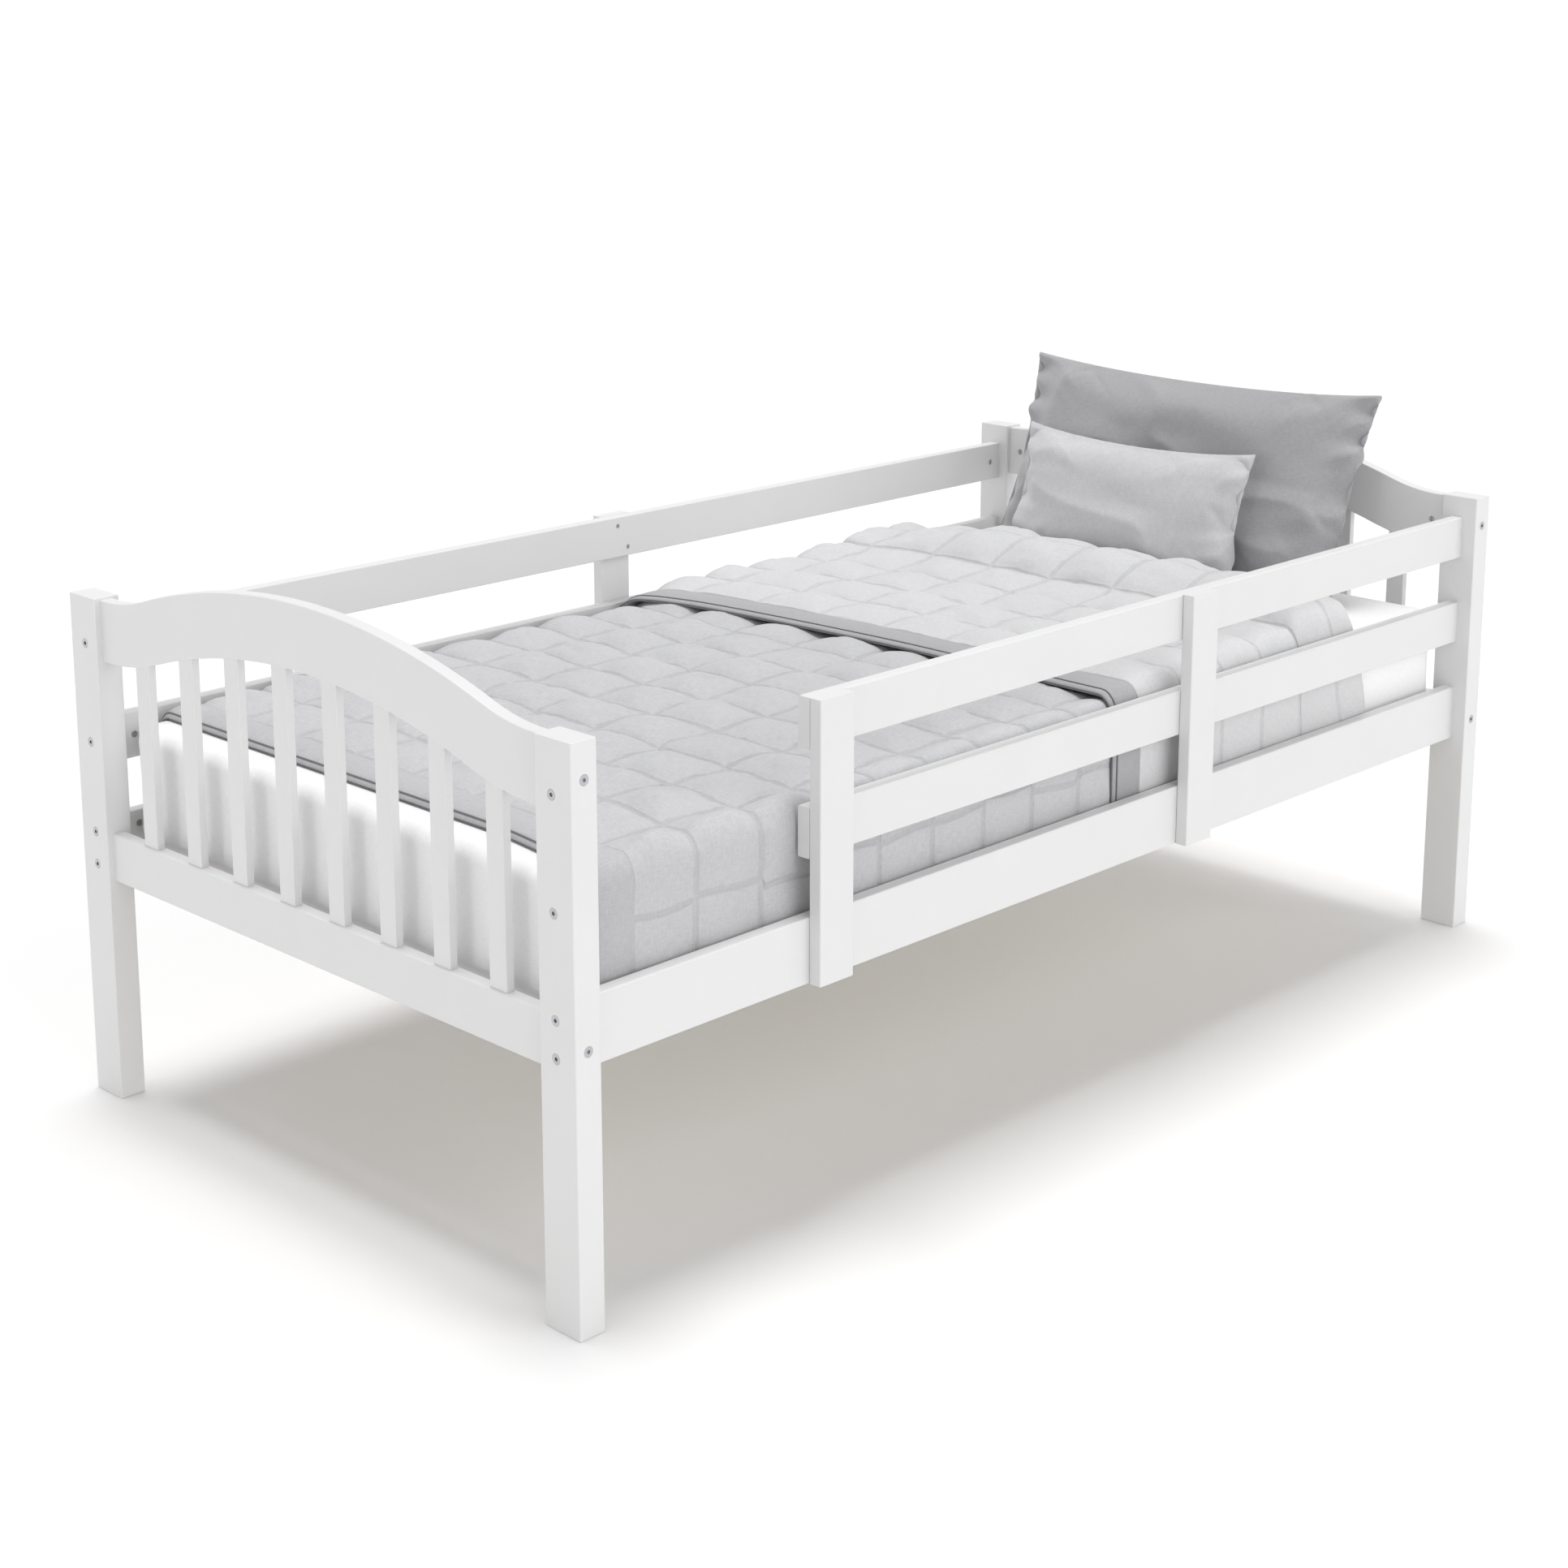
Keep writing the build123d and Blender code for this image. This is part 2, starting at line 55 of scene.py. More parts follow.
def colour(hex_code):
    """sRGB hex to linear RGBA: the standard two-part curve on each channel."""
    channels = [int(hex_code[i:i + 2], 16) / 255 for i in (1, 3, 5)]
    linear = [c / 12.92 if c <= 0.04045 else ((c + 0.055) / 1.055) ** 2.4 for c in channels]
    return (*linear, 1.0)


def add(tree, kind, settings=None, links=None):
    """Adds one shader node, sets its properties and plain sockets, and joins its linked sockets."""
    node = tree.nodes.new("ShaderNode" + kind)
    for name, value in (settings or {}).items():
        if isinstance(name, str) and hasattr(node, name):
            setattr(node, name, value)
        else:
            node.inputs[name].default_value = value
    for name, (source, output) in (links or {}).items():
        tree.links.new(source.outputs[output], node.inputs[name])
    return node


def blank_material(name):
    """A new material with an empty node tree; returns both."""
    mat = bpy.data.materials.new(name)
    mat.use_nodes = True
    mat.node_tree.nodes.clear()
    return mat, mat.node_tree


def close_material(tree, shader):
    """Joins the shader to the material's output."""
    add(tree, "OutputMaterial", links={"Surface": (shader, "BSDF")})


# ---------------------------------------------------------------- materials

SLUB_ACROSS, SLUB_ALONG = 1 / (2.2 * MM), 1 / (13 * MM)    # slubs to a metre, across and along the yarn
CELL_LONG = 105.2 * MM        # between stitch rows, along the bed
CELL_WIDE = 129 * MM          # between stitches in a row, across the bed
STITCH_GROOVE = 6 * MM        # width from a stitch line to where its groove ends
GROOVE_DEPTH = 2.2 * MM
STITCH_GROOVE_PAINTED_SHADE = 0.12           # how far painted shade darkens the cloth in the groove along a stitch line


def painted_pine(axis):
    """Satin alkyd paint sprayed on planed pine: near white, with the grain just telegraphing
    through as fine long ripples in the gloss. The grain runs along the given axis."""
    mat, tree = blank_material("satin_painted_pine_" + axis)
    stretch = {"x": (4, 90, 90), "y": (90, 4, 90), "z": (90, 90, 4)}[axis]
    place = add(tree, "TexCoord")
    laid = add(tree, "Mapping", {"Scale": stretch}, {"Vector": (place, "Object")})
    grain = add(tree, "TexNoise", {"Scale": 1.0, "Detail": 3.0, "Roughness": 0.6},
                {"Vector": (laid, 0)})
    clouds = add(tree, "TexNoise", {"Scale": 9.0, "Detail": 2.0}, {"Vector": (place, "Object")})
    spray = add(tree, "TexNoise", {"Scale": 900.0, "Detail": 1.0}, {"Vector": (place, "Object")})
    tint = add(tree, "Mix", {"data_type": "RGBA", 6: colour("#DDDDDD"), 7: colour("#D9D9D9")},
               {0: (clouds, 0)})
    rough = add(tree, "MapRange", {"To Min": 0.30, "To Max": 0.46}, {"Value": (grain, 0)})
    peel = add(tree, "Bump", {"Strength": 0.02, "Distance": 0.0004}, {"Height": (spray, 0)})
    relief = add(tree, "Bump", {"Strength": 0.10, "Distance": 0.0006},
                 {"Height": (grain, 0), "Normal": (peel, 0)})
    shader = add(tree, "BsdfPrincipled", {"IOR": 1.5},
                 {"Base Color": (tint, 2), "Roughness": (rough, 0), "Normal": (relief, 0)})
    close_material(tree, shader)
    return mat


def bare_pine(axis):
    """Planed unfinished pine: honey wood with darker growth rings a few millimetres apart."""
    mat, tree = blank_material("planed_bare_pine_" + axis)
    stretch = {"x": (0.8, 14, 14), "y": (14, 0.8, 14)}[axis]
    place = add(tree, "TexCoord")
    laid = add(tree, "Mapping", {"Scale": stretch}, {"Vector": (place, "Object")})
    streaks = add(tree, "TexNoise", {"Scale": 1.2, "Detail": 4.0, "Roughness": 0.6},
                  {"Vector": (laid, 0)})
    rings = add(tree, "TexWave", {"wave_type": "RINGS", "Scale": 1.6, "Distortion": 6.0, "Detail": 2.0},
                {"Vector": (laid, 0)})
    fibre = add(tree, "Mapping", {"Scale": tuple(40 * s for s in stretch)},
                {"Vector": (place, "Object")})
    hair = add(tree, "TexNoise", {"Scale": 1.0, "Detail": 2.0}, {"Vector": (fibre, 0)})
    tone = add(tree, "Mix", {"data_type": "RGBA", 6: colour("#E6D9C2"), 7: colour("#D3BE9B")},
               {0: (rings, 1)})
    deep = add(tree, "Mix",
               {"data_type": "RGBA", "blend_type": "MULTIPLY", 0: 0.35, 7: colour("#DCC8A8")},
               {6: (tone, 2)})
    shade = add(tree, "Mix", {"data_type": "RGBA", 6: colour("#ECE2CF")},
                {0: (streaks, 0), 7: (deep, 2)})
    relief = add(tree, "Bump", {"Strength": 0.25, "Distance": 0.0005}, {"Height": (hair, 0)})
    shader = add(tree, "BsdfPrincipled", {"Roughness": 0.62, "IOR": 1.5},
                 {"Base Color": (shade, 2), "Normal": (relief, 0)})
    close_material(tree, shader)
    return mat


def turned_beech():
    """Fluted beech dowel: pinkish tan wood with short dark flecks."""
    mat, tree = blank_material("turned_beech")
    place = add(tree, "TexCoord")
    laid = add(tree, "Mapping", {"Scale": (60, 400, 400)}, {"Vector": (place, "Object")})
    fleck = add(tree, "TexNoise", {"Scale": 1.0, "Detail": 3.0}, {"Vector": (laid, 0)})
    tone = add(tree, "Mix", {"data_type": "RGBA", 6: colour("#D8B48C"), 7: colour("#B98F68")},
               {0: (fleck, 0)})
    shader = add(tree, "BsdfPrincipled", {"Roughness": 0.6, "IOR": 1.5}, {"Base Color": (tone, 2)})
    close_material(tree, shader)
    return mat


def zinc_steel():
    """Bright zinc plate on turned steel: cool silver with faint cloudy passivation."""
    mat, tree = blank_material("bright_zinc_plated_steel")
    place = add(tree, "TexCoord")
    clouds = add(tree, "TexNoise", {"Scale": 420.0, "Detail": 3.0}, {"Vector": (place, "Object")})
    tone = add(tree, "Mix", {"data_type": "RGBA", 6: colour("#C8C9CC"), 7: colour("#AEAFB2")},
               {0: (clouds, 0)})
    rough = add(tree, "MapRange", {"To Min": 0.22, "To Max": 0.42}, {"Value": (clouds, 0)})
    shader = add(tree, "BsdfPrincipled", {"Metallic": 1.0},
                 {"Base Color": (tone, 2), "Roughness": (rough, 0)})
    close_material(tree, shader)
    return mat


def woven_cloth(name, light, dark, thread, sheen, relief=0.35, quilted=False):
    """Plain-woven slub cotton: two crossing sets of threads, `thread` apart on the cloth's own
    coordinates in metres, with thicker places in the yarn that read as short pale and dark dashes.
    Real threads are about 0.4 mm apart and slubs 0.6 mm thick; both are drawn coarser so that they
    show. Quilted cloth also has its stitch lines, sunk in a narrow groove that is darkened with
    painted shade: a line runs wherever the "row" or "column" attribute passes a whole number."""
    mat, tree = blank_material(name)
    wave_scale = math.pi / 10 / thread
    place = add(tree, "UVMap", {"uv_map": "cloth"})
    warp = add(tree, "TexWave", {"bands_direction": "X", "Scale": wave_scale, "Distortion": 0.6},
               {"Vector": (place, 0)})
    weft = add(tree, "TexWave", {"bands_direction": "Y", "Scale": wave_scale, "Distortion": 0.6},
               {"Vector": (place, 0)})
    cross = add(tree, "Math", {"operation": "ADD"}, {0: (warp, 1), 1: (weft, 1)})
    slubs = []
    for stretch in ((SLUB_ACROSS, SLUB_ALONG, 1), (SLUB_ALONG, SLUB_ACROSS, 1)):
        laid = add(tree, "Mapping", {"Scale": stretch}, {"Vector": (place, 0)})
        slubs.append(add(tree, "TexNoise", {"Scale": 1.0, "Detail": 2.0, "Roughness": 0.6},
                         {"Vector": (laid, 0)}))
    yarn = add(tree, "Math", {"operation": "ADD"}, {0: (slubs[0], 0), 1: (slubs[1], 0)})
    fade = add(tree, "TexNoise", {"Scale": 7.0, "Detail": 2.0}, {"Vector": (place, 0)})
    mottled = add(tree, "Math", {"operation": "MULTIPLY_ADD", 1: 0.35}, {0: (fade, 0), 2: (yarn, 0)})
    amount = add(tree, "MapRange", {"From Min": 0.72, "From Max": 1.65}, {"Value": (mottled, 0)})
    final = add(tree, "Mix", {"data_type": "RGBA", 6: colour(light), 7: colour(dark)}, {0: (amount, 0)})
    height = add(tree, "Math", {"operation": "MULTIPLY_ADD", 1: 0.35}, {0: (cross, 0), 2: (yarn, 0)})
    normal = add(tree, "Bump", {"Strength": relief, "Distance": 0.0006}, {"Height": (height, 0)})
    if quilted:
        gaps = []
        for attribute, cell in (("row", CELL_LONG), ("column", CELL_WIDE)):
            number = add(tree, "Attribute", {"attribute_name": attribute})
            part = add(tree, "Math", {"operation": "FRACT"}, {0: (number, 2)})
            middle = add(tree, "Math", {"operation": "SUBTRACT", 1: 0.5}, {0: (part, 0)})
            away = add(tree, "Math", {"operation": "ABSOLUTE"}, {0: (middle, 0)})
            gaps.append(add(tree, "Math", {"operation": "MULTIPLY_ADD", 1: -cell, 2: cell / 2},
                            {0: (away, 0)}))
        gap = add(tree, "Math", {"operation": "MINIMUM"}, {0: (gaps[0], 0), 1: (gaps[1], 0)})
        rise = add(tree, "MapRange", {"interpolation_type": "SMOOTHSTEP", "From Max": STITCH_GROOVE},
                   {"Value": (gap, 0)})
        # Painted shade: within a few millimetres of each stitch line the cloth is multiplied toward
        # dark grey, standing in for the shade that falls in the groove.
        groove_painted_shade = add(tree, "MapRange",
                     {"From Max": STITCH_GROOVE * 0.4, "To Min": STITCH_GROOVE_PAINTED_SHADE, "To Max": 0.0},
                     {"Value": (gap, 0)})
        final = add(tree, "Mix", {"data_type": "RGBA", "blend_type": "MULTIPLY", 7: colour("#8E8E90")},
                    {0: (groove_painted_shade, 0), 6: (final, 2)})
        normal = add(tree, "Bump", {"Strength": 1.0, "Distance": GROOVE_DEPTH},
                     {"Height": (rise, 0), "Normal": (normal, 0)})
    shader = add(tree, "BsdfPrincipled",
                 {"Roughness": 0.92, "IOR": 1.45, "Specular IOR Level": 0.25,
                  "Sheen Weight": sheen, "Sheen Roughness": 0.5},
                 {"Base Color": (final, 2), "Normal": (normal, 0)})
    close_material(tree, shader)
    return mat


# ---------------------------------------------------------------- mesh helpers

def smoothstep(low, high, value):
    """0 below low, 1 above high, and an S-shaped cubic between them."""
    t = np.clip((value - low) / (high - low), 0, 1)
    return t * t * (3 - 2 * t)


LATTICE = 128             # size of the repeating square of random heights
LATTICE_SHIFT = 500       # keeps every place on the positive side of the lattice


def lattice_noise(along, across, step, seed):
    """Smooth value noise from 0 to 1: random heights on a square lattice `step` apart, blended
    between the four nearest with S-shaped weights."""
    heights = np.random.default_rng(seed).random((LATTICE, LATTICE))
    a, b = along / step + LATTICE_SHIFT, across / step + LATTICE_SHIFT
    a0, b0 = np.floor(a).astype(int), np.floor(b).astype(int)
    fa, fb = smoothstep(0, 1, a - a0), smoothstep(0, 1, b - b0)

    def corner(i, j):
        return heights[(a0 + i) % LATTICE, (b0 + j) % LATTICE]

    low = corner(0, 0) * (1 - fb) + corner(0, 1) * fb
    high = corner(1, 0) * (1 - fb) + corner(1, 1) * fb
    return low * (1 - fa) + high * fa


def creases(along, across, step, seed):
    """Sharp folds with rounded sides, -1 in a fold to 1 on a swell: where two warped noises cross
    the middle value, the absolute difference makes a valley line."""
    bend = step * 1.2 * (lattice_noise(along, across, step * 2.2, seed + 1) - 0.5)
    turn = step * 1.2 * (lattice_noise(along, across, step * 2.2, seed + 2) - 0.5)
    rough = lattice_noise(along + bend, across + turn, step, seed)
    return 2 * np.minimum(np.abs(rough - 0.5) * 4, 1) ** 0.8 - 1


def grid_quads(rows, cols, first=0, flip=False):
    """Quads of a rows by cols grid of points numbered row by row from `first`."""
    r, c = np.meshgrid(np.arange(rows - 1), np.arange(cols - 1), indexing="ij")
    a = first + r * cols + c
    quads = np.stack([a, a + 1, a + cols + 1, a + cols], -1).reshape(-1, 4)
    return quads[:, ::-1] if flip else quads


def strip_quads(edge_a, edge_b):
    """Quads that join two equally long runs of point numbers."""
    return np.stack([edge_a[:-1], edge_b[:-1], edge_b[1:], edge_a[1:]], -1)


def new_piece(name, points, quads, cloth=None, materials=(), slots=None, shares=None):
    """Makes a smooth-shaded mesh object at the origin from points (n, 3) and quads (m, 4), with
    cloth coordinates and other named numbers given for each point."""
    mesh = bpy.data.meshes.new(name)
    mesh.vertices.add(len(points))
    mesh.vertices.foreach_set("co", np.asarray(points, np.float32).ravel())
    mesh.loops.add(quads.size)
    mesh.loops.foreach_set("vertex_index", quads.ravel().astype(np.int32))
    mesh.polygons.add(len(quads))
    mesh.polygons.foreach_set("loop_start", np.arange(0, quads.size, 4, dtype=np.int32))
    mesh.update(calc_edges=True)
    mesh.polygons.foreach_set("use_smooth", np.ones(len(quads), bool))
    if cloth is not None:
        layer = mesh.uv_layers.new(name="cloth")
        layer.data.foreach_set("uv", np.asarray(cloth, np.float32)[quads.ravel()].ravel())
    for attribute, values in (shares or {}).items():
        data = mesh.attributes.new(attribute, "FLOAT", "POINT")
        data.data.foreach_set("value", np.asarray(values, np.float32).ravel())
    for mat in materials:
        mesh.materials.append(mat)
    if slots is not None:      # which of the materials each quad has
        mesh.polygons.foreach_set("material_index", slots.astype(np.int32))
    mesh.validate()
    obj = bpy.data.objects.new(name, mesh)
    bpy.context.scene.collection.objects.link(obj)
    return obj


def rounded_path(points, rounds=3):
    """Softens a polyline by cutting every corner at a quarter and three quarters, a few times."""
    for _ in range(rounds):
        near = points[:-1] * 0.75 + points[1:] * 0.25
        far = points[:-1] * 0.25 + points[1:] * 0.75
        middle = np.stack([near, far], 1).reshape(-1, points.shape[1])
        points = np.concatenate([points[:1], middle, points[-1:]])
    return points


def path_lengths(points):
    """Running length along a polyline."""
    steps = np.linalg.norm(np.diff(points, axis=0), axis=1)
    return np.concatenate([[0], np.cumsum(steps)])


def sewn_cord(name, line, radius, material, sides=8):
    """Round piping: a circle carried along a line, square to it, with both ends closed to a point."""
    tangent = np.gradient(line, axis=0)
    tangent /= np.linalg.norm(tangent, axis=1)[:, None]
    side = np.cross(tangent, (0.0, 1.0, 0.0))
    side /= np.linalg.norm(side, axis=1)[:, None]
    up = np.cross(side, tangent)
    turn = np.linspace(0, 2 * np.pi, sides + 1)
    shrink = np.full(len(line), radius)
    shrink[0] = shrink[-1] = radius * 0.02
    ring = side[:, None] * np.cos(turn)[None, :, None] + up[:, None] * np.sin(turn)[None, :, None]
    points = line[:, None] + ring * shrink[:, None, None]
    along = np.repeat(path_lengths(line)[:, None], sides + 1, 1)
    cloth = np.stack([np.repeat(turn[None] * radius, len(line), 0), along], -1)
    quads = grid_quads(len(line), sides + 1, flip=True)
    obj = new_piece(name, points.reshape(-1, 3), quads, cloth.reshape(-1, 2), [material])
    weld(obj, radius * 0.05)
    return obj


def weld(obj, distance):
    """Merges points that lie on each other, so seams and poles are closed."""
    mesh = bmesh.new()
    mesh.from_mesh(obj.data)
    bmesh.ops.remove_doubles(mesh, verts=mesh.verts, dist=distance)
    bmesh.ops.recalc_face_normals(mesh, faces=mesh.faces)
    mesh.to_mesh(obj.data)
    mesh.free()


# ---------------------------------------------------------------- finishes on the wooden frame

PAINT = {axis: painted_pine(axis) for axis in "xyz"}
PINE = {axis: bare_pine(axis) for axis in "xy"}
ZINC = zinc_steel()
BEECH = turned_beech()


def grain_axis(node):
    """The board's longest direction, where its grain runs."""
    low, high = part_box(node)
    return "xyz"[int(np.argmax(np.array(high) - np.array(low)))]


def finish_frame():
    """Gives each wooden and steel node its material, with the grain along the board. The bedding's
    nodes are left as they are, since their pieces are made below."""
    finishes = {"painted_pine": PAINT, "bare_pine": PINE, "zinc_steel": ZINC, "beech_dowel": BEECH}
    for part in frame["record"]["subparts"]:
        slot, node = part["material_slot"], part["node"]
        if slot not in finishes:
            continue
        finish = finishes[slot]
        mat = finish[grain_axis(node)] if isinstance(finish, dict) else finish
        mesh = frame["nodes"][node].data
        mesh.materials.clear()
        mesh.materials.append(mat)


finish_frame()


# ---------------------------------------------------------------- mattress

# Bleached cotton percale, a smooth close weave, drawn tight over foam.
MATTRESS_WHITE = woven_cloth("fitted_sheet_percale", "#F4F4F5", "#E9E9EA", 1.1 * MM, 0.25,
                             relief=0.2)

m_low, m_high = (np.array(c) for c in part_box("mattress"))
MATTRESS_EDGE = 22 * MM         # radius round the top and bottom edges
MATTRESS_CORNER = 26 * MM       # radius of the upright corners
MATTRESS_WAIST = 0.0015         # how far the cover narrows between its edges, as a share of its size
COVER_SEAM = 10 * MM            # cloth left for the strip that closes the cover round the side
mattress_hx, mattress_hy = (m_high - m_low)[:2] / 2
mattress_top = m_high[2]


def rounded_rectangle(half_x, half_y, radius, bend_points=8, spacing=30 * MM):
    """Points round a rectangle whose corners are quarter circles, anticlockwise from the head end
    of the +X side, with points `spacing` apart on the straights."""
    quarter = np.linspace(0, np.pi / 2, bend_points)
    corner = np.stack([np.cos(quarter), np.sin(quarter)], -1) * radius
    turns = [np.array([[cosine, -sine], [sine, cosine]])
             for cosine, sine in ((1, 0), (0, 1), (-1, 0), (0, -1))]
    inner = np.array([half_x - radius, half_y - radius])
    centres = inner * np.array([(1, 1), (-1, 1), (-1, -1), (1, -1)])
    path = np.concatenate([corner @ t.T + centre for t, centre in zip(turns, centres)])
    path = np.concatenate([path, path[:1]])
    length = path_lengths(path)
    straights = [np.arange(low + spacing, high - spacing / 2, spacing)
                 for low, high in zip(length[:-1], length[1:]) if high - low > 2 * spacing]
    stations = np.sort(np.concatenate([length[:-1]] + straights))
    return np.stack([np.interp(stations, length, path[:, i]) for i in range(2)], -1)


def make_mattress():
    """Rounded block: a rounded-rectangle outline carried up the side, round both edges and in
    over the top and bottom to the middle line, with the sides drawn in a little at half height."""
    outline = rounded_rectangle(mattress_hx, mattress_hy, MATTRESS_CORNER)
    around = len(outline)
    ridge = mattress_hy - mattress_hx
    spine = np.stack([np.zeros(around), np.clip(outline[:, 1], -ridge, ridge)], -1)
    edge = MATTRESS_EDGE
    lift = m_high[2] - m_low[2]
    bend = np.linspace(0, np.pi / 2, 7)
    inward = np.linspace(0, 1, 26)[1:] ** 0.8
    low_part = [(edge + share * (mattress_hx - edge), 0.0) for share in inward[::-1]]
    low_part += [(edge * (1 - math.sin(b)), edge * (1 - math.cos(b))) for b in bend]
    side = [(0.0, h) for h in np.linspace(edge, lift - edge, 9)[1:-1]]
    high_part = [(i, lift - h) for i, h in low_part[::-1]]
    profile = np.array(low_part + side + high_part)
    inset, height = profile[:, 0], profile[:, 1]
    share = 1 - inset / mattress_hx
    points = spine[None] + (outline - spine)[None] * share[:, None, None]
    waist = np.sin(np.pi * np.clip((height - edge) / (lift - 2 * edge), 0, 1)) * (inset < edge)
    points = points * (1 - MATTRESS_WAIST * waist[:, None, None])
    z = m_low[2] + height[:, None] + np.zeros(around)[None]
    grid = np.concatenate([points, z[..., None]], -1)
    closed = np.concatenate([grid, grid[:, :1]], 1)
    girth = path_lengths(outline)
    girth = np.concatenate([girth, [girth[-1] + COVER_SEAM]])
    rise = path_lengths(profile)
    cloth = np.stack(np.broadcast_arrays(girth[None], rise[:, None]), -1)
    flat_top = (inset > edge)[:, None] & np.ones(around + 1, bool)[None]
    cloth = np.where(flat_top[..., None], closed[..., :2], cloth)
    quads = grid_quads(len(profile), around + 1)
    obj = new_piece("mattress_cover", closed.reshape(-1, 3), quads, cloth.reshape(-1, 2),
                    [MATTRESS_WHITE])
    weld(obj, 0.2 * MM)
    return obj


mattress = make_mattress()
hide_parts("mattress")
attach(mattress, "mattress")


# ---------------------------------------------------------------- quilt

# Yarn-dyed cotton, brushed to a short nap and box-stitched over wadding: a mid grey face and a
# paler lining.
QUILT_FACE = woven_cloth("brushed_cotton_quilt_face", "#C7C7C9", "#B2B2B4", 1.4 * MM, 0.12,
                         quilted=True)
QUILT_LINING = woven_cloth("brushed_cotton_quilt_lining", "#D2D2D3", "#C2C2C4", 1.4 * MM, 0.12,
                           quilted=True)
# Plain-woven cotton bands sewn on at the turned hem and at the foot hem.
QUILT_BORDER = woven_cloth("plain_cotton_border", "#A8A8AA", "#99999B", 1.2 * MM, 0.35)
QUILT_FOOT_BORDER = woven_cloth("plain_cotton_foot_border", "#BDBDBF", "#AAAAAC", 1.2 * MM, 0.2)
# Dark twisted cotton cord sewn along both edges of each band.
QUILT_PIPING = woven_cloth("twisted_cotton_piping", "#727275", "#5E5E60", 1.2 * MM, 0.3)

BAND = 62 * MM                # plain border at each end
PIPE_STEP = 9 * MM            # between the two lines of piping
PIPE_RADIUS = 1.5 * MM
PUFF = 13.5 * MM              # height of a stuffed cell over its stitches
DROP = 128 * MM               # straight part of the hanging side
SHOULDER = MATTRESS_EDGE      # radius of the mattress edge under the quilt
SHOULDER_LENGTH = 46 * MM     # cloth that goes round it
TOP_HALF = mattress_hx - SHOULDER    # half the width of the part that lies flat
FAR_HEM_STEP = -94 * MM       # toward the foot, where the turned hem hangs on the far side
LEAST_GAP = 0.7 * MM          # between the quilt's underside and the mattress
FACE_ROWS = 7.3 * MM          # between rows of points on the part that shows its face,
HIDDEN_ROWS = 26 * MM         # on the part that is covered
TURNED_ROWS = 6.8 * MM        # and on the turned part

# Along the bed from the foot hem, over the mattress, round the fold and back to the turned hem:
# place along the bed, height of the cloth's middle over the mattress, thickness without stuffing,
# stuffing on the face side and on the lining side (0 to 1). All in millimetres but the shares.
QUILT_COURSE = np.array([
    (-905, 3.0, 5.0, 0.0, 0.0),
    (-902, 7.0, 7.0, 0.0, 0.0),
    (-892, 12.0, 9.0, 0.0, 0.0),
    (-876, 15.0, 10.0, 0.0, 0.0),
    (-860, 13.0, 9.0, 0.0, 0.0),
    (-848, 7.5, 8.0, 0.1, 0.0),
    (-838, 6.0, 8.0, 1.0, 0.0),
    (-700, 5.0, 8.0, 1.0, 0.0),
    (-200, 5.0, 8.0, 1.0, 0.0),
    (40, 5.0, 8.0, 1.0, 0.0),
    (110, 4.6, 7.5, 0.3, 0.0),
    (560, 4.6, 7.5, 0.0, 0.0),
    (640, 6.0, 8.0, 0.0, 0.2),
    (690, 14.0, 9.0, 0.0, 0.6),
    (706, 32.0, 10.0, 0.0, 0.8),
    (694, 54.0, 10.0, 0.0, 0.9),
    (660, 68.0, 10.0, 0.0, 0.9),
    (616, 71.0, 10.0, 0.0, 0.9),
    (575, 52.0, 9.0, 0.0, 1.0),
    (540, 31.0, 8.0, 0.0, 1.0),
    (510, 25.0, 8.0, 0.0, 1.0),
    (330, 24.5, 8.0, 0.0, 1.0),
    (140, 24.5, 8.0, 0.0, 1.0),
    (128, 25.0, 8.0, 0.0, 0.1),
    (105, 26.5, 9.0, 0.0, 0.0),
    (78, 25.0, 8.0, 0.0, 0.0),
    (64, 23.0, 5.0, 0.0, 0.0)])


def quilt_course():
    """The course rounded and resampled: close rows where the quilt is seen, wide rows where it is
    covered by itself. Returns lengths, places, heights, their normals, thickness and stuffing."""
    path = rounded_path(QUILT_COURSE * np.array([MM, MM, MM, 1, 1]))
    length = path_lengths(path[:, :2])
    farthest = np.argmax(path[:, 0])
    fold = length[farthest]
    hidden_from = np.interp(125 * MM, path[:farthest, 0], length[:farthest])
    hidden_to = fold - 90 * MM
    stations = np.concatenate([
        np.arange(0, hidden_from, FACE_ROWS),
        np.arange(hidden_from, hidden_to, HIDDEN_ROWS),
        np.arange(hidden_to, length[-1] - 3 * MM, TURNED_ROWS),
        [length[-1]]])
    fine = [np.interp(stations, length, path[:, i]) for i in range(5)]
    y, h, thick, face, lining = fine
    slope = np.stack([np.gradient(y, stations), np.gradient(h, stations)])
    slope /= np.linalg.norm(slope, axis=0)
    return stations, y, h, -slope[1], slope[0], thick, face, lining, fold


def side_step(height):
    """How far cloth at a height over the top stands out from the mattress side, where it is
    squeezed: nearly touching for the lowest cloth, and rising to a limit for the highest."""
    touching, limit, softness = 0.4 * MM, 12.0 * MM, 26 * MM
    return touching + limit * (1 - np.exp(-height / softness))


def drape(y, height, across):
    """Lays the quilt over the mattress: flat on top, a quarter ellipse round the shoulder, then
    straight down the side. `across` is the cloth's own coordinate from the middle, in metres."""
    along = np.abs(across)
    out = side_step(height)
    angle = np.clip((along - TOP_HALF) / SHOULDER_LENGTH, 0, 1) * np.pi / 2
    down = np.clip(along - TOP_HALF - SHOULDER_LENGTH, 0, None)
    x = np.minimum(along, TOP_HALF) + (SHOULDER + out) * np.sin(angle)
    z = mattress_top - SHOULDER + (SHOULDER + height) * np.cos(angle) - down
    return np.stack([np.sign(across) * x, y + 0 * x, z], -1)


def quilt_across():
    """Columns of the quilt: close over the top, wider down the covered sides."""
    top = np.linspace(-TOP_HALF, TOP_HALF, 123)
    shoulder = TOP_HALF + np.linspace(0, SHOULDER_LENGTH, 8)[1:]
    side = TOP_HALF + SHOULDER_LENGTH + np.linspace(0, DROP, 15)[1:]
    right = np.concatenate([shoulder, side])
    return np.concatenate([-right[::-1], top, right])


